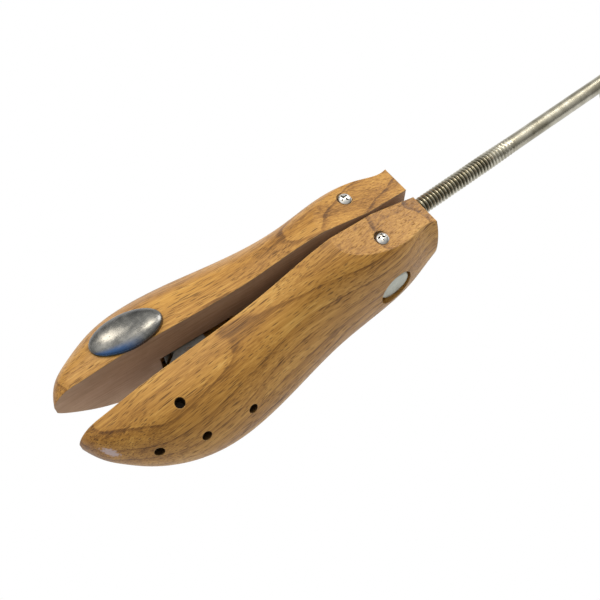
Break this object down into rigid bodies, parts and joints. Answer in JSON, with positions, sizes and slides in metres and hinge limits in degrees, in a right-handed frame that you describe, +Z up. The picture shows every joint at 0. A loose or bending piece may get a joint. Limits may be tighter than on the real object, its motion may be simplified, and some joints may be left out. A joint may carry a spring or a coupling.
{
  "type": "shoe tree",
  "caption": "Split wooden last whose two halves spread sideways when a threaded rod drives a wedge between them; an oval plug presses out one spot.",
  "frame": {"origin": "bottom centre of the whole object's bounding box, on the plane of the flat soles, on the parting plane between the two halves", "axes": "+X to the toe, +Y to the left half, +Z up"},
  "size_m": [0.3643, 0.0848, 0.0605],
  "materials": {
    "varnished_hardwood": "satin varnish over open-pored golden brown hardwood",
    "machined_steel": "dull turned steel",
    "bright_screw": "polished nickel plate",
    "mill_steel": "dark mill finish, rubbed on the rib",
    "small_screw": "zinc plate",
    "cast_wedge": "fine cast skin, rubbed bright on the flanks",
    "nickel_rod": "slightly yellowed nickel plate, oily in the thread roots",
    "handle_steel": "slightly yellowed nickel plate",
    "handle_cap": "slightly yellowed nickel plate",
    "tarnished_plug": "tarnished and finely scratched pressed steel"
  },
  "bodies": {
    "trunnion": {"trunnion_barrel": "machined_steel"},
    "left_side": {"left_half": "varnished_hardwood", "left_pivot_screw": "bright_screw", "left_wear_plate": "mill_steel", "left_plate_screws": "small_screw"},
    "right_side": {"right_half": "varnished_hardwood", "right_pivot_screw": "bright_screw", "right_wear_plate": "mill_steel", "right_plate_screws": "small_screw"},
    "spreader": {"wedge_block": "cast_wedge", "wedge_retaining_pins": "small_screw", "thrust_washer": "small_screw"},
    "screw": {"threaded_rod": "nickel_rod", "handle_hub": "handle_steel", "handle_bar": "handle_steel", "upper_handle_cap": "handle_cap", "lower_handle_cap": "handle_cap", "handle_pin": "small_screw"},
    "plug": {"bunion_plug_dome": "tarnished_plug", "bunion_plug_peg": "small_screw"}
  },
  "joints": [
    {"name": "rod_travel", "type": "slide", "parent": "trunnion", "child": "spreader", "axis": [1, 0, 0], "range_m": [-0.00838, 0.0096]},
    {"name": "left_swing", "type": "hinge", "parent": "trunnion", "child": "left_side", "pos_m": [0.0163, 0.014, 0.0255], "axis": [0, 0, 1], "range_deg": [-3.26, 3.75]},
    {"name": "right_swing", "type": "hinge", "parent": "trunnion", "child": "right_side", "pos_m": [0.0163, -0.014, 0.0255], "axis": [0, 0, 1], "range_deg": [-3.75, 3.26]},
    {"name": "rod_turn", "type": "hinge", "parent": "spreader", "child": "screw", "pos_m": [0.0163, 0, 0.0255], "axis": [1, 0, 0], "range_deg": [-1426, 1634]},
    {"name": "plug_lift", "type": "slide", "parent": "right_side", "child": "plug", "axis": [-0.0108, -0.19, 0.9817], "range_m": [0, 0.009]}
  ],
  "couplings": [
    {"joint": "left_swing", "follows": "rod_travel", "rad_per_m": 6.7874},
    {"joint": "right_swing", "follows": "rod_travel", "rad_per_m": -6.7874},
    {"joint": "rod_turn", "follows": "rod_travel", "rad_per_m": 2968.4}
  ]
}
